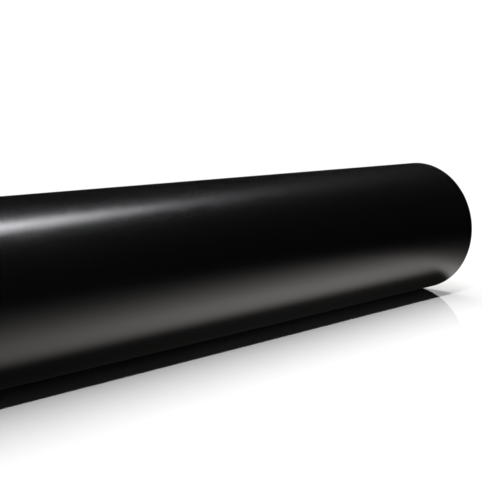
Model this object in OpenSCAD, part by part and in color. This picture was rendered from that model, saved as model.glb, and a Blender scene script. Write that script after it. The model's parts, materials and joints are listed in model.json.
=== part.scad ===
// Roll of sign vinyl: a web of self-adhesive film on its release liner, wound face out
// on a spiral-wound paperboard core. The roll lies on its side along X and rests on z = 0.
// The end of the web lies on the back of the roll, held down by three strips of paper tape.

/* [Web] */
// Width of the web
web_width = 610; // [300:10:1370]
// Length of web wound on the core
web_length = 25000; // [5000:1000:50000]
// Thickness of the vinyl face film
film_thickness = 0.08; // [0.05:0.01:0.16]
// Thickness of the adhesive coat
adhesive_thickness = 0.02; // [0.015:0.005:0.04]
// Thickness of the silicone-coated release liner
liner_thickness = 0.15; // [0.10:0.01:0.20]

/* [Core] */
// Bore of the core
core_bore = 76.2; // [50:0.1:152.4]
// Number of body plies between the two facing plies
body_ply_count = 6; // [4:1:10]
// Thickness of one body ply
body_ply_thickness = 0.7; // [0.5:0.05:1.2]
// Thickness of each of the two facing plies
facing_ply_thickness = 0.4; // [0.3:0.05:0.8]
// How far the core stands out of the web at each end
core_overhang = 1.5; // [0:0.5:6]

/* [Start of the web] */
// Width of one start tape, along the roll
start_tape_width = 48; // [20:1:60]
// Length of one start tape, around the core
start_tape_length = 36; // [20:1:60]
// Thickness of the start tape
start_tape_thickness = 0.12; // [0.06:0.02:0.3]
// Distance from an end of the web to the middle of its start tape
start_tape_inset = 60; // [40:5:90]

/* [Tail of the web] */
// Length of the loose tail, around the roll
tail_length = 52; // [45:1:90]
// Length of the film at the end of the tail that is peeled from its liner
flap_length = 28; // [25:1:40]
// Angle of the tail's free edge above the horizontal, on the back of the roll
tail_edge_angle = 24; // [20:1:60]
// Least gap under the tail
tail_gap = 0.3; // [0.2:0.05:0.6]
// Gap between the liner and the film that peels from it
peel_gap = 0.2; // [0.1:0.05:0.3]
// Gap across each line where the web folds, at the start of the tail and of the peeled film
fold_gap = 0.3; // [0.2:0.05:0.6]

/* [Closing tapes] */
// Width of one closing tape, along the roll
tape_width = 24; // [12:1:50]
// Length of the closing tape that is stuck to the tail's film
tape_held_length = 22; // [10:1:24]
// Length of the closing tape beyond the tail, stuck to the turn below
tape_free_length = 22; // [10:1:40]
// Thickness of the closing tape
tape_thickness = 0.14; // [0.1:0.02:0.3]
// Distance from an end of the web to the middle of its closing tape
tape_inset = 75; // [40:5:100]

/* [Hidden] */
$fn = 128;
half_turn = 180;
full_turn = 360;
// Angle between two bends of the tail
bend_step = 2;

// Radii of the core, from its bore outwards
bore_r = core_bore / 2;
inner_facing_r = bore_r + facing_ply_thickness;
body_plies_r = inner_facing_r + body_ply_count * body_ply_thickness;
core_r = body_plies_r + facing_ply_thickness;
core_length = web_width + 2 * core_overhang;

// The wound web fills an annulus whose area is the web's length times its thickness. Its radius
// and the spiral's centres are whole steps, so that the arcs of the outermost turn meet exactly.
web_thickness = film_thickness + adhesive_thickness + liner_thickness;
roll_step = 0.01;
roll_r = roll_step * round(sqrt(pow(core_r, 2) + web_length * web_thickness / PI) / roll_step);

// The outermost turn is a spiral that drops by one pitch from the tail's free edge to the
// same line one turn further in. Each half of it is an arc, about centres that stand a
// quarter of the pitch to either side of the roll's axis.
offset_step = 0.005;
centre_offset = offset_step * ceil((web_thickness + tail_gap) / 4 / offset_step);
pitch = 4 * centre_offset;
upper_r = roll_r + centre_offset;
lower_r = roll_r - centre_offset;
covered_r = upper_r - pitch;

// Depth of each layer's outer surface below the outer surface of the film
adhesive_depth = film_thickness;
liner_depth = film_thickness + adhesive_thickness;

// Angles around the roll start at the tail's free edge and run up the back and over the top
tail_root_angle = arc_angle(tail_length, upper_r);
turn_start_angle = tail_root_angle + arc_angle(fold_gap, upper_r);
flap_root_angle = arc_angle(flap_length, upper_r);
stuck_edge_angle = flap_root_angle + arc_angle(fold_gap, upper_r);

// Height of the roll's axis at which the lower half turn rests on z = 0
axis_z = lower_r + centre_offset * sin(tail_edge_angle);

// Places along the roll
start_tape_places = [for (side = [-1 : 1]) side * (web_width / 2 - start_tape_inset)];
closing_tape_places = [for (side = [-1 : 1]) side * (web_width / 2 - tape_inset)];
start_tape_angle = 70;

// Clearance around a start tape in the pocket that the first turns leave for it
pocket_clearance = 0.02;
// Clearance between the tail's edge and the step in the closing tape
step_clearance = 0.1;
// How far a cutting shape runs past what it cuts
cut_over = 1;

SIDES = ["left", "centre", "right"];

kraft = [0.66, 0.50, 0.34];
board = [0.58, 0.47, 0.36];
vinyl_black = [0.03, 0.03, 0.035];
liner_white = [0.90, 0.89, 0.85];
adhesive_grey = [0.55, 0.55, 0.56];
tape_cream = [0.86, 0.78, 0.58];

// Angle of an arc of a given length
function arc_angle(length, radius) = length / radius * half_turn / PI;

// Stands a shape drawn around the Z axis on the roll's own axis: drawn X points at the tail's
// free edge, drawn Y up and over the roll, and drawn Z along the roll.
module on_roll_axis() {
    translate([0, 0, axis_z]) rotate([90, 0, 90]) rotate([0, 0, tail_edge_angle]) children();
}

// A tube around the roll's axis
module tube(inner_r, outer_r, length) {
    on_roll_axis() difference() {
        cylinder(h = length, r = outer_r, center = true);
        cylinder(h = length + 2 * cut_over, r = inner_r, center = true);
    }
}

// A piece of a tube between two angles, about a centre on drawn X
module arc_strip(centre, outer_r, thickness, from_angle, to_angle, width, place = 0) {
    translate([centre, 0, 0]) rotate([0, 0, from_angle])
        rotate_extrude(angle = to_angle - from_angle)
            translate([outer_r - thickness, place - width / 2]) square([thickness, width]);
}

// The upper half turn, cut away down to cut_r where the tail lies
module upper_half(outer_r, thickness, cut_r) {
    difference() {
        arc_strip(centre_offset, outer_r, thickness, 0, half_turn, web_width);
        arc_strip(centre_offset, outer_r + cut_over, outer_r + cut_over - cut_r,
            0, turn_start_angle, web_width + 2 * cut_over);
    }
}

// One layer of the outermost turn, from the tail's fold round to its end under the tail
module turn_layer(depth, thickness) {
    on_roll_axis() union() {
        upper_half(upper_r - depth, thickness, covered_r);
        arc_strip(-centre_offset, lower_r - depth, thickness, half_turn, full_turn, web_width);
        arc_strip(centre_offset, covered_r - depth, thickness, 0, turn_start_angle, web_width);
    }
}

// The angles at which a layer of the tail bends: its two ends and the whole steps between them
function bends(from_angle, to_angle) = concat(
    [from_angle],
    [for (i = [floor(from_angle / bend_step) : ceil(to_angle / bend_step)])
        if (i * bend_step - from_angle > bend_step / 4 && to_angle - i * bend_step > bend_step / 4)
            i * bend_step],
    [to_angle]
);

// Points at the given angles, at one radius
function round_points(radius, angles) = [for (a = angles) [radius * cos(a), radius * sin(a)]];

// A list from its end to its start
function turned_round(list) = [for (i = [len(list) - 1 : -1 : 0]) list[i]];

// One layer of the tail, from one angle to another, bent in narrow flats as a thin web is
module tail_layer(depth, thickness, from_angle, to_angle) {
    outer_r = upper_r - depth;
    angles = bends(from_angle, to_angle);
    outer_side = round_points(outer_r, angles);
    inner_side = round_points(outer_r - thickness, angles);
    on_roll_axis() translate([centre_offset, 0, -web_width / 2]) linear_extrude(height = web_width)
        polygon(concat(outer_side, turned_round(inner_side)));
}

// ---- Core ----

module core_inner_ply() {
    color(kraft) tube(bore_r, inner_facing_r, core_length);
}

module core_body_ply(index) {
    inside = inner_facing_r + (index - 1) * body_ply_thickness;
    color(board) tube(inside, inside + body_ply_thickness, core_length);
}

module core_outer_ply() {
    color(kraft) tube(body_plies_r, core_r, core_length);
}

// ---- Start of the web ----

// One start tape, or the pocket for it when clearance is over 0
module start_tape_shape(place, clearance = 0) {
    half = arc_angle(start_tape_length / 2 + clearance, core_r);
    arc_strip(0, core_r + start_tape_thickness + clearance, start_tape_thickness + 2 * clearance,
        start_tape_angle - half, start_tape_angle + half,
        start_tape_width + 2 * clearance, place);
}

module start_tape(index) {
    color(tape_cream) on_roll_axis() start_tape_shape(start_tape_places[index]);
}

// ---- Wound web ----

// All the turns inside the outermost one
module wound_turns() {
    inner_r = core_r - cut_over;
    upper_turns_r = upper_r - web_thickness;
    lower_turns_r = lower_r - web_thickness;
    covered_turns_r = covered_r - web_thickness;
    color(vinyl_black) on_roll_axis() difference() {
        union() {
            upper_half(upper_turns_r, upper_turns_r - inner_r, covered_turns_r);
            arc_strip(-centre_offset, lower_turns_r, lower_turns_r - inner_r,
                half_turn, full_turn, web_width);
        }
        cylinder(h = web_width + 2 * cut_over, r = core_r, center = true);
        for (place = start_tape_places) start_tape_shape(place, pocket_clearance);
    }
}

module outer_turn_liner() {
    color(liner_white) turn_layer(liner_depth, liner_thickness);
}

module outer_turn_adhesive() {
    color(adhesive_grey) turn_layer(adhesive_depth, adhesive_thickness);
}

module outer_turn_film() {
    color(vinyl_black) turn_layer(0, film_thickness);
}

// ---- Tail of the web ----

module tail_liner() {
    color(liner_white) tail_layer(liner_depth, liner_thickness, 0, tail_root_angle);
}

module tail_adhesive() {
    color(adhesive_grey)
        tail_layer(adhesive_depth, adhesive_thickness, stuck_edge_angle, tail_root_angle);
}

module tail_film() {
    color(vinyl_black) tail_layer(0, film_thickness, stuck_edge_angle, tail_root_angle);
}

module flap_adhesive() {
    color(adhesive_grey)
        tail_layer(adhesive_depth - peel_gap, adhesive_thickness, 0, flap_root_angle);
}

module flap_film() {
    color(vinyl_black) tail_layer(-peel_gap, film_thickness, 0, flap_root_angle);
}

// ---- Closing tapes ----

// The tape lies on the film, steps down past the tail's edge and follows the turn below
module closing_tape(index) {
    place = closing_tape_places[index];
    held_r = upper_r + peel_gap + tape_thickness;
    free_r = upper_r - web_thickness + tape_thickness;
    held_bends = bends(0, arc_angle(tape_held_length, held_r));
    free_angle = -arc_angle(tape_free_length, free_r);
    step_angle = -arc_angle(step_clearance, free_r);
    step_end_angle = step_angle - arc_angle(tape_thickness, free_r);
    outer_side = concat(
        round_points(free_r, bends(free_angle, step_end_angle)),
        round_points(held_r, concat([step_end_angle], held_bends))
    );
    inner_side = concat(
        round_points(free_r - tape_thickness, bends(free_angle, step_angle)),
        round_points(held_r - tape_thickness, concat([step_angle], held_bends))
    );
    color(tape_cream) on_roll_axis() translate([centre_offset, 0, place - tape_width / 2])
        linear_extrude(height = tape_width)
            polygon(concat(outer_side, turned_round(inner_side)));
}

core_inner_ply();
for (i = [1 : body_ply_count])
    core_body_ply(i);
core_outer_ply();
for (i = [0 : len(SIDES) - 1])
    start_tape(i);
wound_turns();
outer_turn_liner();
outer_turn_adhesive();
outer_turn_film();
tail_liner();
tail_adhesive();
tail_film();
flap_adhesive();
flap_film();
for (i = [0 : len(SIDES) - 1])
    closing_tape(i);
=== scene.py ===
import json
import math

import bmesh
import bpy
import numpy as np
from bpy.props import FloatProperty, FloatVectorProperty, IntProperty, PointerProperty
from mathutils import Matrix, Vector


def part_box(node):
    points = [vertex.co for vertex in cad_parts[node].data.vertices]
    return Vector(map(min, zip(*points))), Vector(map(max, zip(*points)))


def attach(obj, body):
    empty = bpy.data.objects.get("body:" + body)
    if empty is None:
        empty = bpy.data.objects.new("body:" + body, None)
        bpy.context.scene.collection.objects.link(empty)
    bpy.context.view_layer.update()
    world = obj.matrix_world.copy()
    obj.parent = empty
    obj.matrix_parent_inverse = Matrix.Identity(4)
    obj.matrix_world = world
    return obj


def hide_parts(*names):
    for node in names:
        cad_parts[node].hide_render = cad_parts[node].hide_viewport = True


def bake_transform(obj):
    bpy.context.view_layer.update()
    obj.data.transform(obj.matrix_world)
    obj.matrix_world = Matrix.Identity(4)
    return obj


bl_info = {
    "name": "Roll of Sign Vinyl",
    "version": (1, 0, 0),
    "blender": (4, 5, 0),
    "location": "3D View > Sidebar > Vinyl Roll",
    "description": "Makes a roll of self-adhesive sign vinyl, turn by turn, and the table it lies on",
    "category": "Add Mesh",
}

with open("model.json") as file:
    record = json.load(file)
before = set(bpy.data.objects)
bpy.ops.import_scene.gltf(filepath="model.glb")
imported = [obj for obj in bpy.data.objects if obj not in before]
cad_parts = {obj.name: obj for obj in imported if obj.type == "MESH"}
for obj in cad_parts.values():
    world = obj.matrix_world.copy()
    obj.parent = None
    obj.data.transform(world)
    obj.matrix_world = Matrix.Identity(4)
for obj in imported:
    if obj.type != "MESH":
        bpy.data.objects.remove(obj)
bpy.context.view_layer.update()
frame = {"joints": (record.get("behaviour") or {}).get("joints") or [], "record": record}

MM = 0.001
FULL_TURN = 2 * math.pi
SHARP_ANGLE = math.radians(35)
STEPS_PER_TURN = 160.0
# Points round a strip's section, with the first one met again
SECTION_POINTS = 5
# The cut ends of a wound strip taper over this share of a turn
WEDGE_TURN = 0.0003
# Points nearer than this are one
MERGE_DISTANCE = 1e-6
SIDES = ("left", "centre", "right")

JOINTS = {joint["name"]: joint for joint in frame["joints"]}
MOUNTS = {mount["name"]: mount for mount in frame["record"]["mounts"]}
AXIS_HEIGHT = MOUNTS["core_bore"]["pos_m"][2]
BORE_RADIUS = MOUNTS["core_bore"]["dims"]["r_mm"] * MM
WEB_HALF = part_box("outer_turn_film")[1].x
CORE_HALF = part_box("core_inner_ply")[1].x
TAIL_PIVOT = Vector(JOINTS["tail_lift"]["pos_m"])
PEEL_PIVOT = Vector(JOINTS["film_peel"]["pos_m"])
TAPE_PLACES, START_TAPE_PLACES = (
    {side: sum(corner.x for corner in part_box(kind + side)) / 2 for side in SIDES}
    for kind in ("closing_tape_", "start_tape_")
)


# ---- What the user can set ----

def length(name, description, default):
    """A size in metres."""
    return FloatProperty(name=name, description=description, default=default, min=0.0,
                         subtype="DISTANCE", unit="LENGTH", precision=5)


def colour(name, description, default):
    """A finish's colour."""
    return FloatVectorProperty(name=name, description=description, default=default, size=3,
                               min=0.0, max=1.0, subtype="COLOR")


def power(name, description, default):
    """A light's power."""
    return FloatProperty(name=name, description=description, default=default, min=0.0, subtype="POWER")


class RollSizes(bpy.types.PropertyGroup):
    """Sizes of the web, its tail and its tapes"""

    film: length("Film", "Thickness of the vinyl face film", 0.08 * MM)
    adhesive: length("Adhesive", "Thickness of the adhesive coat", 0.02 * MM)
    liner: length("Liner", "Thickness of the release liner", 0.15 * MM)
    tail_step: length("Tail step", "Drop from the tail's face to the turn below it", 0.56 * MM)
    tail_edge: FloatProperty(name="Tail edge", description="Height of the tail's free edge around the roll",
                             default=math.radians(24), subtype="ANGLE", unit="ROTATION")
    edge_lift: length("Edge lift", "How far the tail's edge stands off between the tapes", 0.22 * MM)
    edge_wander: length("Edge wander", "How far the wound edges stray from flush", 0.22 * MM)
    bend: length("Bend", "Length over which the web bends at a fold", 9 * MM)
    tape_width: length("Tape width", "Width of one closing tape", 24 * MM)
    tape_held: length("Tape on tail", "Length of the closing tape that is stuck to the tail", 22 * MM)
    tape_free: length("Tape beyond tail", "Length of the closing tape beyond the tail's edge", 22 * MM)
    tape: length("Tape thickness", "Thickness of the closing tape", 0.14 * MM)
    tape_teeth: length("Tape teeth", "Depth of the teeth on the tape's cut ends", 1.1 * MM)
    start_tape_width: length("Start tape width", "Width of one start tape", 48 * MM)
    start_tape_length: length("Start tape length", "Length of one start tape, around the core", 36 * MM)
    start_tape: length("Start tape thickness", "Thickness of the start tape", 0.12 * MM)


class CoreSizes(bpy.types.PropertyGroup):
    """Sizes of the spiral-wound core"""

    facing: length("Facing ply", "Thickness of the inner and outer facing plies", 0.4 * MM)
    body: length("Body ply", "Thickness of one body ply", 0.7 * MM)
    body_count: IntProperty(name="Body plies", description="Number of body plies", default=6, min=1)
    strip: length("Ply strip", "Width along the core of the paper strip a ply is wound from", 118 * MM)
    seam: length("Ply seam", "Open seam between two turns of a ply's strip", 0.5 * MM)
    fray: length("Cut fray", "How uneven the sawn end of a ply is", 0.16 * MM)


class RollColours(bpy.types.PropertyGroup):
    """Colours of the finishes"""

    film: colour("Film", "Matt black vinyl", (0.0009, 0.0009, 0.001))
    film_edge: colour("Film edge", "Cut edge of the film in the wound turns", (0.008, 0.008, 0.009))
    adhesive: colour("Adhesive", "Grey adhesive coat", (0.23, 0.24, 0.25))
    liner: colour("Liner", "Silicone-coated release paper", (0.74, 0.72, 0.66))
    kraft: colour("Kraft", "Facing paper of the core", (0.36, 0.215, 0.105))
    board: colour("Board", "Grey-brown board of the core", (0.27, 0.19, 0.125))
    tape: colour("Tape", "Crepe paper tape", (0.74, 0.60, 0.33))
    dust: colour("Dust", "Paper dust and lint", (0.34, 0.34, 0.36))


class StageSettings(bpy.types.PropertyGroup):
    """The table, the lights and the camera"""

    table: colour("Table", "Polished white table", (0.86, 0.86, 0.86))
    highlight: power("Highlight", "Power of the strip light over the roll", 8.0)
    key: power("Key", "Power of the light that shapes the shadow", 17.5)
    top: power("Top", "Power of the wide light overhead", 34.0)
    fill: power("Fill", "Power of each light beside and behind the roll", 3.6)
    lens: FloatProperty(name="Lens", description="Focal length of the camera", default=72.94,
                        min=1.0, subtype="DISTANCE_CAMERA")


# ---- The wound shape ----

def roll():
    """The sizes in use, with the radii and angles that follow from them."""
    sizes = bpy.context.scene.roll_sizes
    centre = sizes.tail_step / 4
    middle = Vector((centre * math.cos(sizes.tail_edge), AXIS_HEIGHT + centre * math.sin(sizes.tail_edge)))
    to_tail = Vector((TAIL_PIVOT.y, TAIL_PIVOT.z)) - middle
    to_peel = Vector((PEEL_PIVOT.y, PEEL_PIVOT.z)) - middle
    return {
        "sizes": sizes,
        "centre": centre,
        "radius": to_tail.length,
        "web": sizes.film + sizes.adhesive + sizes.liner,
        "root": math.atan2(to_tail.y, to_tail.x) - sizes.tail_edge,
        "peel": math.atan2(to_peel.y, to_peel.x) - sizes.tail_edge,
    }


def on_web(angle, rise):
    """Places (y, z) at angles along the web from its free edge inwards, at a rise off the film's face.

    The web is wound as half turns about two centres, each half turn smaller than the last."""
    made = roll()
    half = np.floor(angle / math.pi)
    side = 1 - 2 * (half % 2)
    radius = made["radius"] - half * 2 * made["centre"] + rise
    out = side * made["centre"] + radius * np.cos(angle)
    up = radius * np.sin(angle)
    edge = made["sizes"].tail_edge
    y = out * math.cos(edge) - up * math.sin(edge)
    z = out * math.sin(edge) + up * math.cos(edge) + AXIS_HEIGHT
    return y, z


def on_core(angle, rise):
    """Places (y, z) at angles around the core from its top, at a rise off its outer face."""
    radius = core_radius() + rise
    return -radius * np.sin(angle), radius * np.cos(angle) + AXIS_HEIGHT


def core_radius():
    """Outer radius of the core."""
    core = bpy.context.scene.core_sizes
    return BORE_RADIUS + 2 * core.facing + core.body_count * core.body


def steps(start, end, step):
    """Evenly spaced values from start to end, at most a step apart."""
    return np.linspace(start, end, max(2, int(math.ceil(abs(end - start) / step)) + 1))


def ripple(x, seed):
    """A slow wave along a length, from -1 to 1, different for each seed."""
    slowest = 9.0
    waves = ((1.0, 0.5), (2.3, 0.3), (5.1, 0.2))
    return sum(share * np.sin(x * slowest * pace + seed * (1.7 + pace)) for pace, share in waves)


def eased(share):
    """A share from 0 to 1, made to start and end gently."""
    return share * share * (3 - 2 * share)


def strip(name, place, angle, x, top, bottom, finish, seed=0):
    """A thin closed piece of web or tape: rows run along the web and columns across it.

    angle and x are grids of the rows and columns; top and bottom are rises, alike all over or grids."""
    rows, columns = angle.shape
    points = []
    for rise in (top, bottom):
        y, z = place(angle, rise)
        points.append(np.stack((x, y, z), axis=-1).reshape(-1, 3))
    under = rows * columns
    index = np.arange(under).reshape(rows, columns)
    quads = np.stack((index[:-1, :-1], index[1:, :-1], index[1:, 1:], index[:-1, 1:]), axis=-1)
    faces = np.concatenate((quads.reshape(-1, 4), quads.reshape(-1, 4)[:, ::-1] + under))
    rim = np.concatenate((index[0, :-1], index[:-1, -1], index[-1, :0:-1], index[:0:-1, 0]))
    after = np.roll(rim, -1)
    faces = np.concatenate((faces, np.stack((rim, after, after + under, rim + under), axis=-1)))
    mesh = bpy.data.meshes.new(name)
    mesh.from_pydata(np.concatenate(points).tolist(), [], faces.tolist())
    web = np.stack((angle * roll()["radius"] + seed, x), axis=-1).reshape(-1, 2)
    flat = mesh.uv_layers.new(name="web")
    corner = np.zeros(len(mesh.loops), dtype=np.int32)
    mesh.loops.foreach_get("vertex_index", corner)
    flat.data.foreach_set("uv", web[corner % under].astype(np.float32).ravel())
    return finished(name, mesh, finish)


def finished(name, mesh, finish=None):
    """An object at the origin for a closed mesh, with its faces outwards and its cut edges sharp."""
    shape = bmesh.new()
    shape.from_mesh(mesh)
    bmesh.ops.recalc_face_normals(shape, faces=shape.faces)
    shape.to_mesh(mesh)
    shape.free()
    mesh.shade_smooth()
    mesh.set_sharp_from_angle(angle=SHARP_ANGLE)
    if finish:
        mesh.materials.clear()
        mesh.materials.append(finish)
    made = bpy.data.objects.new(name, mesh)
    bpy.context.scene.collection.objects.link(made)
    return made


def grid(along, across):
    """Two grids, rows along and columns across."""
    return np.meshgrid(along, across, indexing="ij")


# ---- Node trees ----

def node(tree, kind, inputs=None, **settings):
    """Adds a node, sets it, and joins or fills its inputs."""
    made = tree.nodes.new(kind)
    for name, value in settings.items():
        setattr(made, name, value)
    for name, value in (inputs or {}).items():
        if isinstance(value, bpy.types.NodeSocket):
            tree.links.new(value, made.inputs[name])
        else:
            made.inputs[name].default_value = value
    return made


def maths(tree, operation, *values):
    """A Math node's result."""
    return node(tree, "ShaderNodeMath", dict(enumerate(values)), operation=operation).outputs[0]


def new_tree(name, kind, inputs, outputs):
    """An empty node group with its sockets, and the node that gives its inputs."""
    tree = bpy.data.node_groups.new(name, kind)
    for label, socket, default in inputs:
        made = tree.interface.new_socket(name=label, in_out="INPUT", socket_type="NodeSocket" + socket)
        if default is not None:
            made.default_value = default
    for label, socket in outputs:
        tree.interface.new_socket(name=label, in_out="OUTPUT", socket_type="NodeSocket" + socket)
    return tree, tree.nodes.new("NodeGroupInput").outputs


def strip_rows(tree, count):
    """Rows of points round a strip's section: the mesh, each point's row, and its face and side, -1 or 1."""
    sheet = node(tree, "GeometryNodeMeshGrid", {"Vertices X": count, "Vertices Y": SECTION_POINTS})
    number = node(tree, "GeometryNodeInputIndex").outputs[0]
    row = maths(tree, "FLOOR", maths(tree, "DIVIDE", maths(tree, "ADD", number, 0.5), SECTION_POINTS))
    column = maths(tree, "SUBTRACT", number, maths(tree, "MULTIPLY", row, SECTION_POINTS))

    def side(middle):
        near = maths(tree, "LESS_THAN", maths(tree, "ABSOLUTE", maths(tree, "SUBTRACT", column, middle)), 1.0)
        return maths(tree, "SUBTRACT", 1.0, maths(tree, "MULTIPLY", near, 2.0))

    return sheet.outputs["Mesh"], row, side(2.5), side(1.5)


def set_round(tree, mesh, turned, radius, x, height, finish):
    """Moves the points round the roll's axis, closes the strip, and ends the tree."""
    y = maths(tree, "MULTIPLY", radius, maths(tree, "COSINE", turned))
    z = maths(tree, "ADD", maths(tree, "MULTIPLY", radius, maths(tree, "SINE", turned)), height)
    place = node(tree, "ShaderNodeCombineXYZ", {"X": x, "Y": y, "Z": z}).outputs[0]
    moved = node(tree, "GeometryNodeSetPosition", {"Geometry": mesh, "Position": place})
    closed = node(tree, "GeometryNodeMergeByDistance", {
        "Geometry": moved.outputs[0], "Distance": MERGE_DISTANCE})
    coated = node(tree, "GeometryNodeSetMaterial", {"Geometry": closed.outputs[0], "Material": finish})
    node(tree, "NodeGroupOutput", {"Geometry": coated.outputs[0]})


def wound_layer_tree():
    """One layer of the web, wound as one long spiral strip."""
    tree, given = new_tree("Wound layer", "GeometryNodeTree", (
        ("First Radius", "Float", 0.0432), ("Thickness", "Float", 0.0001), ("Turn Step", "Float", 0.00025),
        ("Turns", "Float", 10.0), ("Steps per Turn", "Float", STEPS_PER_TURN), ("Last Angle", "Float", 0.0),
        ("Half Width", "Float", 0.3), ("Edge Wander", "Float", 0.0002), ("Seed", "Float", 0.0),
        ("Axis Height", "Float", 0.06), ("Material", "Material", None)), (("Geometry", "Geometry"),))
    last = maths(tree, "ROUND", maths(tree, "MULTIPLY", given["Turns"], given["Steps per Turn"]))
    mesh, row, face, side = strip_rows(tree, maths(tree, "ADD", last, 3.0))
    inner = maths(tree, "MINIMUM", maths(tree, "MAXIMUM", maths(tree, "SUBTRACT", row, 1.0), 0.0), last)
    past = maths(tree, "SUBTRACT", row, maths(tree, "ADD", inner, 1.0))
    turn = maths(tree, "DIVIDE", inner, given["Steps per Turn"])
    turn = maths(tree, "ADD", turn, maths(tree, "MULTIPLY", past, WEDGE_TURN))
    cut = maths(tree, "SUBTRACT", 1.0, maths(tree, "ABSOLUTE", past))
    left_over = maths(tree, "SUBTRACT", maths(tree, "DIVIDE", last, given["Steps per Turn"]), turn)
    turned = maths(tree, "ADD", given["Last Angle"], maths(tree, "MULTIPLY", left_over, FULL_TURN))
    middle = maths(tree, "ADD", given["First Radius"], maths(tree, "MULTIPLY", turn, given["Turn Step"]))
    half = maths(tree, "MULTIPLY", maths(tree, "MULTIPLY", given["Thickness"], 0.5), cut)
    radius = maths(tree, "ADD", middle, maths(tree, "MULTIPLY", half, face))
    stray = given["Half Width"]
    sides_apart = 9.0
    # Waves in the wound edge: how many to a turn, how far out, and where each starts
    for pace, share, shift in ((0.11, 1.1, 0.0), (0.9, 0.75, 31.0), (5.3, 0.22, 67.0)):
        where = node(tree, "ShaderNodeCombineXYZ", {
            "X": maths(tree, "MULTIPLY", turn, pace),
            "Y": maths(tree, "ADD", given["Seed"], shift),
            "Z": maths(tree, "MULTIPLY", side, sides_apart)}).outputs[0]
        value = node(tree, "ShaderNodeTexNoise", {"Vector": where, "Scale": 1.0, "Detail": 1.0}).outputs[0]
        push = maths(tree, "MULTIPLY", maths(tree, "SUBTRACT", value, 0.5), share * 2)
        stray = maths(tree, "ADD", stray, maths(tree, "MULTIPLY", push, given["Edge Wander"]))
    set_round(tree, mesh, turned, radius, maths(tree, "MULTIPLY", side, stray), given["Axis Height"],
              given["Material"])
    return tree


def wound_ply_tree():
    """One ply of the core: a strip wound as a helix with an open seam, sawn off at both ends."""
    tree, given = new_tree("Wound ply", "GeometryNodeTree", (
        ("Inner Radius", "Float", 0.038), ("Thickness", "Float", 0.0007), ("Strip Width", "Float", 0.12),
        ("Seam", "Float", 0.0005), ("Half Length", "Float", 0.3), ("Steps per Turn", "Float", STEPS_PER_TURN),
        ("Hand", "Float", 1.0), ("First Angle", "Float", 0.0), ("Fray", "Float", 0.0001),
        ("Seed", "Float", 0.0), ("Axis Height", "Float", 0.06), ("Material", "Material", None)),
        (("Geometry", "Geometry"),))
    lead = maths(tree, "ADD", given["Strip Width"], given["Seam"])
    span = maths(tree, "ADD", maths(tree, "MULTIPLY", given["Half Length"], 2.0), given["Strip Width"])
    turns = maths(tree, "DIVIDE", span, lead)
    last = maths(tree, "FLOOR", maths(tree, "MULTIPLY", turns, given["Steps per Turn"]))
    mesh, row, face, side = strip_rows(tree, maths(tree, "ADD", last, 1.0))
    at_last = maths(tree, "GREATER_THAN", row, maths(tree, "SUBTRACT", last, 0.5))
    turn = maths(tree, "DIVIDE", row, given["Steps per Turn"])
    turn = maths(tree, "MAXIMUM", turn, maths(tree, "MULTIPLY", at_last, turns))
    spun = maths(tree, "MULTIPLY", maths(tree, "MULTIPLY", turn, FULL_TURN), given["Hand"])
    turned = maths(tree, "ADD", given["First Angle"], spun)
    half_strip = maths(tree, "MULTIPLY", given["Strip Width"], 0.5)
    start = maths(tree, "SUBTRACT", maths(tree, "MULTIPLY", half_strip, -1.0), given["Half Length"])
    middle = maths(tree, "ADD", start, maths(tree, "MULTIPLY", turn, lead))
    x = maths(tree, "ADD", middle, maths(tree, "MULTIPLY", side, half_strip))
    fineness = 9.0
    where = node(tree, "ShaderNodeCombineXYZ", {
        "X": maths(tree, "MULTIPLY", maths(tree, "COSINE", turned), fineness),
        "Y": maths(tree, "MULTIPLY", maths(tree, "SINE", turned), fineness),
        "Z": maths(tree, "ADD", given["Seed"], maths(tree, "SIGN", x))}).outputs[0]
    rough = node(tree, "ShaderNodeTexNoise", {"Vector": where, "Scale": 1.0, "Detail": 3.0}).outputs[0]
    end = maths(tree, "SUBTRACT", given["Half Length"], maths(tree, "MULTIPLY", rough, given["Fray"]))
    x = maths(tree, "MAXIMUM", maths(tree, "MINIMUM", x, end), maths(tree, "MULTIPLY", end, -1.0))
    outside = maths(tree, "MULTIPLY", maths(tree, "ADD", face, 1.0), 0.5)
    radius = maths(tree, "ADD", given["Inner Radius"], maths(tree, "MULTIPLY", outside, given["Thickness"]))
    set_round(tree, mesh, turned, radius, x, given["Axis Height"], given["Material"])
    return tree


def grown(name, tree, values):
    """The plain mesh that a tree makes with the values given."""
    seedling = bpy.data.objects.new(name + "_tree", bpy.data.meshes.new(name + "_tree"))
    bpy.context.scene.collection.objects.link(seedling)
    modifier = seedling.modifiers.new("Make", "NODES")
    modifier.node_group = tree
    for item in tree.interface.items_tree:
        if item.in_out == "INPUT" and item.name in values:
            modifier[item.identifier] = values[item.name]
    ready = seedling.evaluated_get(bpy.context.evaluated_depsgraph_get())
    mesh = bpy.data.meshes.new_from_object(ready)
    mesh.name = name
    bpy.data.objects.remove(seedling)
    if len(mesh.polygons) == 0:
        raise RuntimeError(name + " came out empty")
    return finished(name, mesh)


# ---- Finishes ----

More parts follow.
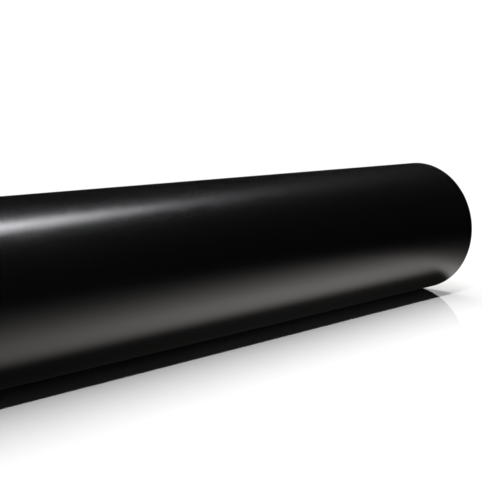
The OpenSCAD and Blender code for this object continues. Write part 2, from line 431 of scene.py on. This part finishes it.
def grain_group(name):
    """Fine even grain with slow cloudy changes, for pressed film and coated paper."""
    tree, given = new_tree(name, "ShaderNodeTree", (
        ("Vector", "Vector", None), ("Grain Scale", "Float", 2500.0), ("Cloud Scale", "Float", 14.0),
        ("Roughness", "Float", 0.4), ("Variation", "Float", 0.04)),
        (("Height", "Float"), ("Roughness", "Float"), ("Cloud", "Float")))
    fine = node(tree, "ShaderNodeTexNoise", {
        "Vector": given["Vector"], "Scale": given["Grain Scale"], "Detail": 2.0}).outputs[0]
    cloud = node(tree, "ShaderNodeTexNoise", {
        "Vector": given["Vector"], "Scale": given["Cloud Scale"], "Detail": 4.0, "Roughness": 0.6}).outputs[0]
    both = maths(tree, "ADD", maths(tree, "MULTIPLY", fine, 0.35), maths(tree, "MULTIPLY", cloud, 0.65))
    change = maths(tree, "MULTIPLY", maths(tree, "SUBTRACT", both, 0.5), given["Variation"])
    node(tree, "NodeGroupOutput", {
        "Height": fine, "Roughness": maths(tree, "ADD", given["Roughness"], change), "Cloud": cloud})
    return tree


def dust_group(name):
    """Sparse specks of lint and paper dust."""
    tree, given = new_tree(name, "ShaderNodeTree", (
        ("Vector", "Vector", None), ("Scale", "Float", 260.0), ("Amount", "Float", 0.3),
        ("Speck", "Float", 0.09)), (("Mask", "Float"),))
    cell = node(tree, "ShaderNodeTexVoronoi", {"Vector": given["Vector"], "Scale": given["Scale"]})
    chosen = node(tree, "ShaderNodeSeparateColor", {"Color": cell.outputs["Color"]}).outputs[0]
    kept = maths(tree, "LESS_THAN", chosen, given["Amount"])
    size = maths(tree, "MULTIPLY", given["Speck"], maths(tree, "ADD", chosen, 0.4))
    near = maths(tree, "LESS_THAN", cell.outputs["Distance"], size)
    node(tree, "NodeGroupOutput", {"Mask": maths(tree, "MULTIPLY", kept, near)})
    return tree


def wear_group(name):
    """Broken rubbing along the two ends of the roll, where it is stood and handled."""
    tree, given = new_tree(name, "ShaderNodeTree", (
        ("Vector", "Vector", None), ("Half Width", "Float", 0.305), ("Band", "Float", 0.002)),
        (("Mask", "Float"),))
    x = node(tree, "ShaderNodeSeparateXYZ", {"Vector": given["Vector"]}).outputs[0]
    inset = maths(tree, "SUBTRACT", given["Half Width"], maths(tree, "ABSOLUTE", x))
    near = maths(tree, "SUBTRACT", 1.0, maths(tree, "DIVIDE", inset, given["Band"]))
    near = maths(tree, "MAXIMUM", maths(tree, "MINIMUM", near, 1.0), 0.0)
    patchy = node(tree, "ShaderNodeTexNoise", {
        "Vector": given["Vector"], "Scale": 320.0, "Detail": 4.0, "Roughness": 0.7}).outputs[0]
    broken = maths(tree, "MAXIMUM", maths(tree, "MULTIPLY", maths(tree, "SUBTRACT", patchy, 0.47), 6.0), 0.0)
    node(tree, "NodeGroupOutput", {"Mask": maths(
        tree, "MINIMUM", maths(tree, "MULTIPLY", near, broken), 1.0)})
    return tree


def fibre_group(name):
    """Paper fibres and mottling, drawn out along one direction."""
    tree, given = new_tree(name, "ShaderNodeTree", (
        ("Vector", "Vector", None), ("Scale", "Float", 300.0), ("Stretch", "Vector", (0.15, 1.0, 1.0)),
        ("Dark", "Color", (0.2, 0.1, 0.05, 1.0)), ("Light", "Color", (0.6, 0.4, 0.2, 1.0))),
        (("Colour", "Color"), ("Height", "Float")))
    drawn = node(tree, "ShaderNodeVectorMath", {0: given["Vector"], 1: given["Stretch"]},
                 operation="MULTIPLY").outputs[0]
    fibres = node(tree, "ShaderNodeTexNoise", {
        "Vector": drawn, "Scale": given["Scale"], "Detail": 5.0, "Roughness": 0.65}).outputs[0]
    mottle = node(tree, "ShaderNodeTexNoise", {
        "Vector": given["Vector"], "Scale": 45.0, "Detail": 3.0, "Roughness": 0.6}).outputs[0]
    share = maths(tree, "ADD", maths(tree, "MULTIPLY", fibres, 1.5), maths(tree, "MULTIPLY", mottle, 0.9))
    share = maths(tree, "SUBTRACT", share, 0.7)
    mixed = node(tree, "ShaderNodeMix", {0: share, 6: given["Dark"], 7: given["Light"]}, data_type="RGBA")
    node(tree, "NodeGroupOutput", {"Colour": mixed.outputs[2], "Height": fibres})
    return tree


EFFECTS = {
    "Fine grain": grain_group, "Dust specks": dust_group, "Edge wear": wear_group,
    "Paper fibres": fibre_group,
}


def group(tree, name, inputs):
    """Places a shared effect in a material, made the first time it is asked for, and gives its outputs."""
    shared = bpy.data.node_groups.get(name) or EFFECTS[name](name)
    return node(tree, "ShaderNodeGroup", inputs, node_tree=shared).outputs


def mix(tree, share, first, second):
    """Two colours mixed."""
    return node(tree, "ShaderNodeMix", {0: share, 6: first, 7: second}, data_type="RGBA").outputs[2]


def rgba(values, factor=1.0):
    """A colour with its alpha, made lighter or darker by a factor."""
    return (*(min(1.0, value * factor) for value in values), 1.0)


def material(name, build):
    """A material, built the first time it is asked for."""
    if name in bpy.data.materials:
        return bpy.data.materials[name]
    made = bpy.data.materials.new(name)
    made.use_nodes = True
    tree = made.node_tree
    shader = tree.nodes["Principled BSDF"]
    build(tree, shader, bpy.context.scene.roll_colours)
    return made


def flat_place(tree):
    """The place on the web, in metres along and across it."""
    return node(tree, "ShaderNodeUVMap", uv_map="web").outputs[0]


def body_place(tree):
    """The place on the roll, in metres."""
    return node(tree, "ShaderNodeTexCoord").outputs["Object"]


def fine_grain(tree, place, fine, cloud, roughness, variation):
    """Fine grain on a finish: how closely it and its clouds lie, and how rough it makes the surface."""
    return group(tree, "Fine grain", {
        "Vector": place, "Grain Scale": fine, "Cloud Scale": cloud, "Roughness": roughness,
        "Variation": variation})


def coat(tree, shader, tint, roughness, height, strength, distance):
    """Gives the shader its colour and roughness, and raises the surface by a height pattern."""
    raised = node(tree, "ShaderNodeBump", {"Height": height, "Strength": strength, "Distance": distance})
    for name, value in (("Base Color", tint), ("Roughness", roughness), ("Normal", raised.outputs[0])):
        tree.links.new(value, shader.inputs[name])


def film_finish():
    """Matt black vinyl face film."""
    def build(tree, shader, colours):
        place = flat_place(tree)
        grain = fine_grain(tree, place, fine=1100.0, cloud=16.0, roughness=0.24, variation=0.05)
        dust = group(tree, "Dust specks", {"Vector": place, "Scale": 230.0, "Amount": 0.07, "Speck": 0.1})
        wear = group(tree, "Edge wear", {
            "Vector": body_place(tree), "Half Width": WEB_HALF, "Band": 1.6 * MM})
        dusty = mix(tree, dust["Mask"], rgba(colours.film), rgba(colours.dust, 0.3))
        worn = mix(tree, maths(tree, "MULTIPLY", wear["Mask"], 0.5), dusty, rgba(colours.dust, 0.2))
        rougher = maths(tree, "ADD", grain["Roughness"], maths(tree, "MULTIPLY", dust["Mask"], 0.4))
        shader.inputs["IOR"].default_value = 1.62
        coat(tree, shader, worn, rougher, grain["Height"], 1.0, 0.08 * MM)
    return material("matt_film", build)


def film_edge_finish():
    """The film's cut edge, turn upon turn."""
    def build(tree, shader, colours):
        place = body_place(tree)
        grain = fine_grain(tree, place, fine=1800.0, cloud=30.0, roughness=0.55, variation=0.25)
        dust = group(tree, "Dust specks", {"Vector": place, "Scale": 900.0, "Amount": 0.25, "Speck": 0.2})
        base = mix(tree, grain["Cloud"], rgba(colours.film_edge, 0.6), rgba(colours.film_edge, 2.2))
        dusty = mix(tree, dust["Mask"], base, rgba(colours.dust, 0.6))
        coat(tree, shader, dusty, grain["Roughness"], grain["Height"], 0.4, 0.05 * MM)
    return material("cut_film_edge", build)


def liner_finish(name, place_of):
    """Release paper: off-white, lightly mottled, with the silicone's low sheen."""
    def build(tree, shader, colours):
        place = place_of(tree)
        paper = group(tree, "Paper fibres", {
            "Vector": place, "Scale": 420.0, "Stretch": (0.35, 1.0, 1.0),
            "Dark": rgba(colours.liner, 0.86), "Light": rgba(colours.liner, 1.06)})
        grain = fine_grain(tree, place, fine=1500.0, cloud=20.0, roughness=0.42, variation=0.2)
        coat(tree, shader, paper["Colour"], grain["Roughness"], paper["Height"], 0.15, 0.03 * MM)
    return material(name, build)


def adhesive_finish():
    """Pressure-sensitive adhesive: grey, glossy, with fine orange peel."""
    def build(tree, shader, colours):
        place = flat_place(tree)
        grain = fine_grain(tree, place, fine=900.0, cloud=40.0, roughness=0.24, variation=0.22)
        base = mix(tree, grain["Cloud"], rgba(colours.adhesive, 0.8), rgba(colours.adhesive, 1.2))
        coat(tree, shader, base, grain["Roughness"], grain["Height"], 0.35, 0.04 * MM)
    return material("tacky_coat", build)


def paper_finish(name, tint, stretch, scale, roughness):
    """Kraft paper or board, with drawn-out fibres."""
    def build(tree, shader, colours):
        place = body_place(tree)
        base = getattr(colours, tint)
        paper = group(tree, "Paper fibres", {
            "Vector": place, "Scale": scale, "Stretch": stretch,
            "Dark": rgba(base, 0.62), "Light": rgba(base, 1.35)})
        grain = fine_grain(tree, place, fine=900.0, cloud=25.0, roughness=roughness, variation=0.15)
        coat(tree, shader, paper["Colour"], grain["Roughness"], paper["Height"], 0.5, 0.12 * MM)
    return material(name, build)


def tape_finish(name):
    """Crepe paper tape: cream, creased across its length."""
    def build(tree, shader, colours):
        place = flat_place(tree)
        paper = group(tree, "Paper fibres", {
            "Vector": place, "Scale": 500.0, "Stretch": (1.0, 0.3, 1.0),
            "Dark": rgba(colours.tape, 0.78), "Light": rgba(colours.tape, 1.12)})
        creases = node(tree, "ShaderNodeVectorMath", {0: place, 1: (1.0, 0.12, 1.0)},
                       operation="MULTIPLY").outputs[0]
        creased = node(tree, "ShaderNodeTexNoise", {
            "Vector": creases, "Scale": 1300.0, "Detail": 3.0}).outputs[0]
        grain = fine_grain(tree, place, fine=1100.0, cloud=60.0, roughness=0.72, variation=0.15)
        coat(tree, shader, paper["Colour"], grain["Roughness"], creased, 0.6, 0.12 * MM)
    return material(name, build)


# ---- Pieces ----

def stand_for(piece, slot, *nodes):
    """Hides the CAD nodes that a piece stands for, and gives the piece back; slot, where its finish would
    come from, is not used.
    """
    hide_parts(*nodes)
    return piece


class ROLL_OT_core(bpy.types.Operator):
    """Winds the core's plies, from the inner facing to the outer one"""

    bl_idname = "roll.core"
    bl_label = "Core"

    def execute(self, context):
        core = context.scene.core_sizes
        tree = wound_ply_tree()
        kraft = paper_finish("kraft_paper", "kraft", (0.5, 1.0, 0.5), 260.0, 0.8)
        board = paper_finish("grey_board", "board", (0.6, 1.0, 1.0), 420.0, 0.88)
        plies = [("ply_inner", core.facing, kraft, "core_kraft", "core_inner_ply")]
        for index in range(1, core.body_count + 1):
            plies.append((f"ply_body_{index}", core.body, board, "core_board", f"core_body_ply_{index}"))
        plies.append(("ply_outer", core.facing, kraft, "core_kraft", "core_outer_ply"))
        radius = BORE_RADIUS
        for index, (name, thickness, paper, slot, cad) in enumerate(plies):
            made = grown(name, tree, {
                "Inner Radius": radius, "Thickness": thickness, "Strip Width": core.strip,
                "Seam": core.seam, "Half Length": CORE_HALF, "Steps per Turn": STEPS_PER_TURN,
                "Hand": 1.0 if index % 2 == 0 else -1.0, "First Angle": 0.9 + 2.4 * index,
                "Fray": core.fray, "Seed": 3.0 * index, "Axis Height": AXIS_HEIGHT, "Material": paper})
            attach(stand_for(made, slot, cad), "roll")
            radius += thickness
        return {"FINISHED"}


class ROLL_OT_start_tapes(bpy.types.Operator):
    """Sticks the three start tapes to the core"""

    bl_idname = "roll.start_tapes"
    bl_label = "Start Tapes"

    def execute(self, context):
        sizes = context.scene.roll_sizes
        paper = tape_finish("start_tape_crepe")
        low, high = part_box("start_tape_centre")
        centre = math.atan2(-(low.y + high.y) / 2, (low.z + high.z) / 2 - AXIS_HEIGHT)
        half = sizes.start_tape_length / 2 / core_radius()
        for number, side in enumerate(SIDES):
            angle, x = grid(steps(centre - half, centre + half, 0.02),
                            START_TAPE_PLACES[side] + steps(-0.5, 0.5, 0.06) * sizes.start_tape_width)
            made = strip("start_strip_" + side, on_core, angle, x, sizes.start_tape, 0.0, paper, seed=number)
            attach(stand_for(made, "start_tape", "start_tape_" + side), "roll")
        return {"FINISHED"}


def inner_spiral():
    """The turns inside the outermost one: where they end, and how many there are."""
    made = roll()
    end = made["root"] + FULL_TURN
    y, z = on_web(np.array([end]), np.array([0.0]))
    outside = math.hypot(y[0], z[0] - AXIS_HEIGHT)
    gap = 0.02 * MM
    innermost = core_radius() + made["web"] + gap
    return end, outside, (outside - innermost) / made["web"]


class ROLL_OT_wound_turns(bpy.types.Operator):
    """Winds the film and its liner on the core, up to the outermost turn"""

    bl_idname = "roll.wound_turns"
    bl_label = "Wound Turns"

    def execute(self, context):
        sizes = context.scene.roll_sizes
        tree = wound_layer_tree()
        end, outside, turns = inner_spiral()
        web = roll()["web"]
        coated = sizes.film + sizes.adhesive
        layers = (
            ("film_wound", film_edge_finish(), coated, coated / 2, 0.9),
            ("liner_wound", liner_finish("release_paper_edge", body_place), sizes.liner,
             coated + sizes.liner / 2, 0.0),
        )
        for name, finish, thickness, depth, seed in layers:
            made = grown(name, tree, {
                "First Radius": outside - turns * web - depth, "Thickness": thickness,
                "Turn Step": web, "Turns": turns, "Steps per Turn": STEPS_PER_TURN,
                "Last Angle": end + sizes.tail_edge, "Half Width": WEB_HALF,
                "Edge Wander": sizes.edge_wander, "Seed": seed, "Axis Height": AXIS_HEIGHT,
                "Material": finish})
            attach(stand_for(made, "wound_web", "wound_turns"), "roll")
        return {"FINISHED"}


def web_layers():
    """The three layers of the web: name, slot, finish, and the depths of its two faces."""
    sizes = bpy.context.scene.roll_sizes
    coated = sizes.film + sizes.adhesive
    return (
        ("film", "vinyl_film", film_finish(), 0.0, sizes.film),
        ("adhesive", "adhesive", adhesive_finish(), sizes.film, coated),
        ("liner", "liner", liner_finish("release_paper", flat_place), coated, coated + sizes.liner),
    )


def across_web(step=12 * MM):
    """Places across the web, a step apart, and close together at its two edges."""
    edge, margin = WEB_HALF - 1 * MM, WEB_HALF - 4 * MM
    return np.concatenate(([-WEB_HALF, -edge], steps(-margin, margin, step), [edge, WEB_HALF]))


def strayed(x, angle, layer):
    """The same places across a layer, with its two edges a little off line."""
    seed = 4 if layer == "liner" else 1
    off = bpy.context.scene.roll_sizes.edge_wander / 2 * ripple(angle * 0.35 + np.sign(x) * 2, seed)
    at_edge = np.abs(x / WEB_HALF) ** 24
    return x + off * at_edge


class ROLL_OT_outer_turn(bpy.types.Operator):
    """Lays the outermost turn in its three layers"""

    bl_idname = "roll.outer_turn"
    bl_label = "Outer Turn"

    def execute(self, context):
        made = roll()
        start, end = made["root"], made["root"] + FULL_TURN
        angle, x = grid(steps(start, end, math.radians(0.75)), across_web(30 * MM))
        for layer, slot, finish, top, bottom in web_layers():
            edge = strayed(x, angle, layer)
            piece = strip(layer + "_outer", on_web, angle, edge, -top, -bottom, finish)
            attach(stand_for(piece, slot, "outer_turn_" + layer), "roll")
        return {"FINISHED"}


def edge_lift(angle, x):
    """How far the film stands off the liner: nothing where it is stuck or taped, most at its free edge."""
    made = roll()
    sizes = made["sizes"]
    free = np.clip(1 - angle / made["peel"], 0, 1)
    # In tape widths: how far from its middle a tape holds the film, and over how much more it comes loose
    held_to, loose_over = 0.4, 2.2
    loose = np.ones_like(x)
    for middle in TAPE_PLACES.values():
        widths_off = np.abs(x - middle) / sizes.tape_width
        loose = np.minimum(loose, np.clip((widths_off - held_to) / loose_over, 0, 1))
    under_tape = 0.25
    waves = 0.9 + 0.5 * ripple(x * 2.2, 5)
    return sizes.edge_lift * free ** 2 * (under_tape + eased(loose) * waves)


class ROLL_OT_tail(bpy.types.Operator):
    """Lays the loose tail of the web, up to where its film parts from the liner"""

    bl_idname = "roll.tail"
    bl_label = "Tail"

    def execute(self, context):
        made = roll()
        for layer, slot, finish, top, bottom in web_layers():
            start = 0.0 if layer == "liner" else made["peel"]
            angle, x = grid(steps(made["root"], start, math.radians(0.5)), across_web())
            edge = strayed(x, angle, layer)
            piece = strip(layer + "_tail", on_web, angle, edge, -top, -bottom, finish)
            stand_for(piece, slot, "tail_" + layer)
            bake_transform(piece)
        return {"FINISHED"}


class ROLL_OT_flap(bpy.types.Operator):
    """Lays the end of the film, which peels from the liner"""

    bl_idname = "roll.flap"
    bl_label = "Flap"

    def execute(self, context):
        made = roll()
        angle, x = grid(steps(made["peel"], 0.0, math.radians(0.5)), across_web())
        lift = edge_lift(angle, x)
        for layer, slot, finish, top, bottom in web_layers()[:2]:
            edge = strayed(x, angle, layer)
            piece = strip(layer + "_flap", on_web, angle, edge, lift - top, lift - bottom, finish)
            stand_for(piece, slot, "flap_" + layer)
            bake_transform(piece)
        return {"FINISHED"}


class ROLL_OT_closing_tapes(bpy.types.Operator):
    """Sticks three strips of crepe tape across the tail's edge"""

    bl_idname = "roll.closing_tapes"
    bl_label = "Closing Tapes"

    def execute(self, context):
        made = roll()
        sizes = made["sizes"]
        paper = tape_finish("closing_tape_crepe")
        held, free = sizes.tape_held / made["radius"], sizes.tape_free / made["radius"]
        tooth = sizes.tape_teeth / made["radius"]
        teeth_across, creases_per_radian = 22, 900
        skewed_by = 0.02
        clearance = 0.02 * MM
        # Where the tape starts down from the tail to the turn below, and how far that takes
        step_start, step_run = 0.1 * MM, 2.6 * MM
        for number, side in enumerate(SIDES):
            along, across = grid(steps(-1.0, 1.0, 0.012), steps(-0.5, 0.5, 0.016))
            x = TAPE_PLACES[side] + across * sizes.tape_width
            at_end = np.abs(along) ** 30
            teeth = tooth * np.abs((across * teeth_across + 0.3 * number) % 1 - 0.5) * at_end
            skew = across * skewed_by * (number - 1)
            angle = np.where(along > 0, along * held, along * free) - np.sign(along) * teeth + skew
            past = eased(np.clip((-angle * made["radius"] - step_start) / step_run, 0, 1))
            creases = clearance * np.sin(angle * creases_per_radian + 3 * ripple(x * 30, number))
            on_film = edge_lift(np.maximum(angle, 0), x) + clearance
            on_turn = 3 * clearance - sizes.tail_step
            rise = on_film * (1 - past) + on_turn * past + clearance + creases
            piece = strip("closing_strip_" + side, on_web, angle, x, rise + sizes.tape, rise, paper,
                          seed=0.2 * number)
            stand_for(piece, "closing_tape", "closing_tape_" + side)
            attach(piece, "flap")
        return {"FINISHED"}


# ---- Stage ----

TABLE_HALF = 25.0
# The camera's place from the middle of the roll's right end, in radii of the roll, and its aim
CAMERA_RADII = (-13.044, -8.873, 3.011)
CAMERA_DOWN, CAMERA_TURN = math.radians(8.31), math.radians(45.46)


def area_light(name, energy, size, place, target, shiny=True, matt=True, tint=(1.0, 1.0, 1.0),
               turn=0.0, spread=180.0):
    """A rectangular studio light aimed at a point, its long side along the roll or turned from it."""
    lamp = bpy.data.lights.new(name, "AREA")
    lamp.shape = "RECTANGLE"
    lamp.size, lamp.size_y = size
    lamp.energy = energy
    lamp.color = tint
    lamp.spread = math.radians(spread)
    made = bpy.data.objects.new(name, lamp)
    back = (Vector(place) - Vector(target)).normalized()
    along = Vector((1, 0, 0)) if abs(back.x) < 0.9 else Vector((0, 1, 0))
    side = along.cross(back).normalized()
    along = back.cross(side)
    aimed = Matrix((along, -side, back)).transposed().to_4x4()
    made.matrix_world = Matrix.Translation(place) @ aimed @ Matrix.Rotation(math.radians(turn), 4, "Z")
    made.visible_camera = False
    made.visible_glossy = shiny
    made.visible_diffuse = matt
    bpy.context.scene.collection.objects.link(made)
    return made


# Just above full white, so that what should be white is white
WHITE_LEVEL = 1.02
# The table top is polished beside the roll, and turns evenly bright between these distances
POLISH, POLISH_REACH = 0.32, 0.2
BRIGHT_FROM, BRIGHT_TO = 0.16, 0.5
# Painted light pool: how brightly the table glows in the film's soft reflections, dark next to the roll as
# painted shadow, by distance in metres from the roll's axis
PAINTED_LIGHT_POOL = (
    (0.0, 0.010), (0.030, 0.016), (0.051, 0.034), (0.067, 0.88), (0.085, 1.0), (0.10, 0.80), (0.13, 0.50),
    (0.17, 0.27), (0.24, 0.11), (0.42, 0.035), (0.8, 0.008),
)
PAINTED_LIGHT_POOL_TINT = (1.0, 0.96, 0.92)
# A distance past the roll's end counts for more than one beside it
PAST_END_WEIGHT = 1.2
# The painted light pool is brightest at one place along the roll, and falls off with the square of the way
# from it
POOL_MIDDLE, POOL_LEVEL, POOL_FALL, POOL_LEAST = 0.06, 1.32, 6.5, 0.5


def table_finish():
    """White table top, polished where the roll lies, and evenly bright further off; soft reflections see a
    painted glow of light in its place, with painted shadow next to the roll.
    """
    made = bpy.data.materials.new("white_table")
    made.use_nodes = True
    tree = made.node_tree
    tree.nodes.clear()
    place = node(tree, "ShaderNodeSeparateXYZ", {"Vector": body_place(tree)}).outputs
    aside = maths(tree, "ABSOLUTE", place["Y"])
    past_end = maths(tree, "SUBTRACT", maths(tree, "ABSOLUTE", place["X"]), CORE_HALF)
    past_end = maths(tree, "MAXIMUM", past_end, 0.0)
    off = maths(tree, "SQRT", maths(
        tree, "ADD", maths(tree, "POWER", past_end, 2.0), maths(tree, "POWER", aside, 2.0)))
    bright = node(tree, "ShaderNodeMapRange", {
        "Value": off, "From Min": BRIGHT_FROM, "From Max": BRIGHT_TO},
        interpolation_type="SMOOTHSTEP").outputs[0]
    polish = node(tree, "ShaderNodeMapRange", {
        "Value": off, "From Min": 0.0, "From Max": POLISH_REACH, "To Min": POLISH, "To Max": 0.0},
        interpolation_type="SMOOTHSTEP").outputs[0]
    speckle = node(tree, "ShaderNodeTexNoise", {
        "Vector": body_place(tree), "Scale": 260.0, "Detail": 2.0}).outputs[0]
    white = bpy.context.scene.stage_settings.table
    top = mix(tree, speckle, rgba(white, 0.99), rgba(white, 1.01))
    matt = node(tree, "ShaderNodeBsdfDiffuse", {"Color": top}).outputs[0]
    shine = node(tree, "ShaderNodeBsdfGlossy", {"Color": (1, 1, 1, 1), "Roughness": 0.0}).outputs[0]
    polished = node(tree, "ShaderNodeMixShader", {0: polish, 1: matt, 2: shine}).outputs[0]
    lit = node(tree, "ShaderNodeEmission", {"Color": (1, 1, 1, 1), "Strength": WHITE_LEVEL}).outputs[0]
    direct = node(tree, "ShaderNodeMixShader", {0: bright, 1: polished, 2: lit}).outputs[0]

    # Painted light pool: an emission glow that stands in for the lit table in soft reflections, with painted
    # shadow next to the roll
    beside = maths(tree, "ADD", aside, maths(tree, "MULTIPLY", past_end, PAST_END_WEIGHT))
    painted_pool_ramp = node(tree, "ShaderNodeValToRGB", {"Fac": beside})
    ramp = painted_pool_ramp.color_ramp
    for stop, (distance, level) in zip(ramp.elements, (PAINTED_LIGHT_POOL[0], PAINTED_LIGHT_POOL[-1])):
        stop.position, stop.color = distance, rgba((level,) * 3)
    for distance, level in PAINTED_LIGHT_POOL[1:-1]:
        ramp.elements.new(distance).color = rgba(PAINTED_LIGHT_POOL_TINT, level)
    from_middle = maths(tree, "POWER", maths(tree, "SUBTRACT", place["X"], POOL_MIDDLE), 2.0)
    level = maths(tree, "SUBTRACT", POOL_LEVEL, maths(tree, "MULTIPLY", from_middle, POOL_FALL))
    level = maths(tree, "MAXIMUM", level, POOL_LEAST)
    painted_glow = node(tree, "ShaderNodeEmission", {"Color": painted_pool_ramp.outputs["Color"], "Strength": level}).outputs[0]
    ray = node(tree, "ShaderNodeLightPath").outputs
    # Soft reflections, not mirror ones, see the painted glow instead of the table's own shading
    soft = maths(tree, "SUBTRACT", ray["Is Glossy Ray"], ray["Is Singular Ray"])
    whole = node(tree, "ShaderNodeMixShader", {0: soft, 1: direct, 2: painted_glow}).outputs[0]
    node(tree, "ShaderNodeOutputMaterial", {"Surface": whole})
    return made


def make_world():
    """White surroundings, kept dark in the film's own soft reflections."""
    world = bpy.data.worlds.new("studio")
    world.use_nodes = True
    tree = world.node_tree
    tree.nodes.clear()
    ray = node(tree, "ShaderNodeLightPath").outputs
    dim = node(tree, "ShaderNodeBackground", {"Color": (1, 1, 1, 1), "Strength": 0.012}).outputs[0]
    dark = node(tree, "ShaderNodeBackground", {"Color": (0.95, 0.95, 1, 1), "Strength": 0.006}).outputs[0]
    white = node(tree, "ShaderNodeBackground", {"Color": (1, 1, 1, 1), "Strength": WHITE_LEVEL}).outputs[0]
    soft = node(tree, "ShaderNodeMixShader", {0: ray["Is Glossy Ray"], 1: dim, 2: dark}).outputs[0]
    seen = maths(tree, "MAXIMUM", ray["Is Camera Ray"], ray["Is Singular Ray"])
    whole = node(tree, "ShaderNodeMixShader", {0: seen, 1: soft, 2: white}).outputs[0]
    node(tree, "ShaderNodeOutputWorld", {"Surface": whole})
    bpy.context.scene.world = world


class ROLL_OT_stage(bpy.types.Operator):
    """Sets out the white table, the studio lights and the camera"""

    bl_idname = "roll.stage"
    bl_label = "Stage"

    def execute(self, context):
        stage = context.scene.stage_settings
        table = bpy.data.meshes.new("table")
        corners = ((-1, -1), (1, -1), (1, 1), (-1, 1))
        table.from_pydata([(x * TABLE_HALF, y * TABLE_HALF, 0) for x, y in corners], [], [(0, 1, 2, 3)])
        table.materials.append(table_finish())
        floor = bpy.data.objects.new("table", table)
        context.scene.collection.objects.link(floor)

        not_table = bpy.data.collections.new("not_table")
        not_table.objects.link(floor)
        not_table.collection_objects[0].light_linking.link_state = "EXCLUDE"
        axis = (0.0, 0.0, 0.06)
        strip_lamp = area_light("strip", stage.highlight, (1.8, 0.15), (0.0, -0.085, 1.0), (0.0, -0.085, 0.0),
                                matt=False, tint=(0.97, 0.96, 1.0), turn=13.5, spread=79.0)
        strip_lamp.light_linking.receiver_collection = not_table
        area_light("key", stage.key, (1.4, 0.05), (0.0, -0.5, 1.46), axis, shiny=False)
        area_light("top", stage.top, (2.4, 2.2), (0.0, 0.62, 1.5), (0.0, 0.62, 0.0), shiny=False)
        for place in ((-1.6, -0.3, 0.7), (1.6, -0.3, 0.7), (0.0, 1.9, 0.6)):
            fill = area_light("fill", stage.fill, (0.8, 0.8), place, axis, shiny=False)
            fill.light_linking.receiver_collection = not_table
        make_world()

        camera = bpy.data.cameras.new("camera")
        camera.sensor_width = 36.0
        camera.lens = stage.lens
        eye = bpy.data.objects.new("camera", camera)
        radius = roll()["radius"]
        eye.location = Vector((WEB_HALF, 0, 0)) + Vector(CAMERA_RADII) * radius
        eye.rotation_euler = (math.pi / 2 - CAMERA_DOWN, 0, -CAMERA_TURN)
        context.scene.collection.objects.link(eye)
        context.scene.camera = eye
        context.scene.view_settings.view_transform = "Standard"
        return {"FINISHED"}


class ROLL_PT_panel(bpy.types.Panel):
    """The roll's sizes, colours and pieces"""

    bl_idname = "ROLL_PT_panel"
    bl_label = "Vinyl Roll"
    bl_space_type = "VIEW_3D"
    bl_region_type = "UI"
    bl_category = "Vinyl Roll"

    def draw(self, context):
        for held in ("roll_sizes", "core_sizes", "roll_colours", "stage_settings"):
            settings = getattr(context.scene, held)
            box = self.layout.box()
            for name in settings.__annotations__:
                box.prop(settings, name)
        for maker in MAKERS:
            self.layout.operator(maker.bl_idname)


MAKERS = (
    ROLL_OT_stage, ROLL_OT_core, ROLL_OT_start_tapes, ROLL_OT_wound_turns, ROLL_OT_outer_turn,
    ROLL_OT_tail, ROLL_OT_flap, ROLL_OT_closing_tapes,
)
SETTINGS = {
    "roll_sizes": RollSizes, "core_sizes": CoreSizes, "roll_colours": RollColours,
    "stage_settings": StageSettings,
}


def register():
    """Adds the settings, operators and panel to Blender."""
    for kind in (*SETTINGS.values(), *MAKERS, ROLL_PT_panel):
        bpy.utils.register_class(kind)
    for name, kind in SETTINGS.items():
        setattr(bpy.types.Scene, name, PointerProperty(type=kind))


def unregister():
    """Takes them away again."""
    for name in SETTINGS:
        delattr(bpy.types.Scene, name)
    for kind in (ROLL_PT_panel, *reversed(MAKERS), *reversed(SETTINGS.values())):
        bpy.utils.unregister_class(kind)


def main():
    """Makes every piece and the stage."""
    register()
    for maker in MAKERS:
        family, name = maker.bl_idname.split(".")
        getattr(getattr(bpy.ops, family), name)()


if __name__ == "__main__":
    main()
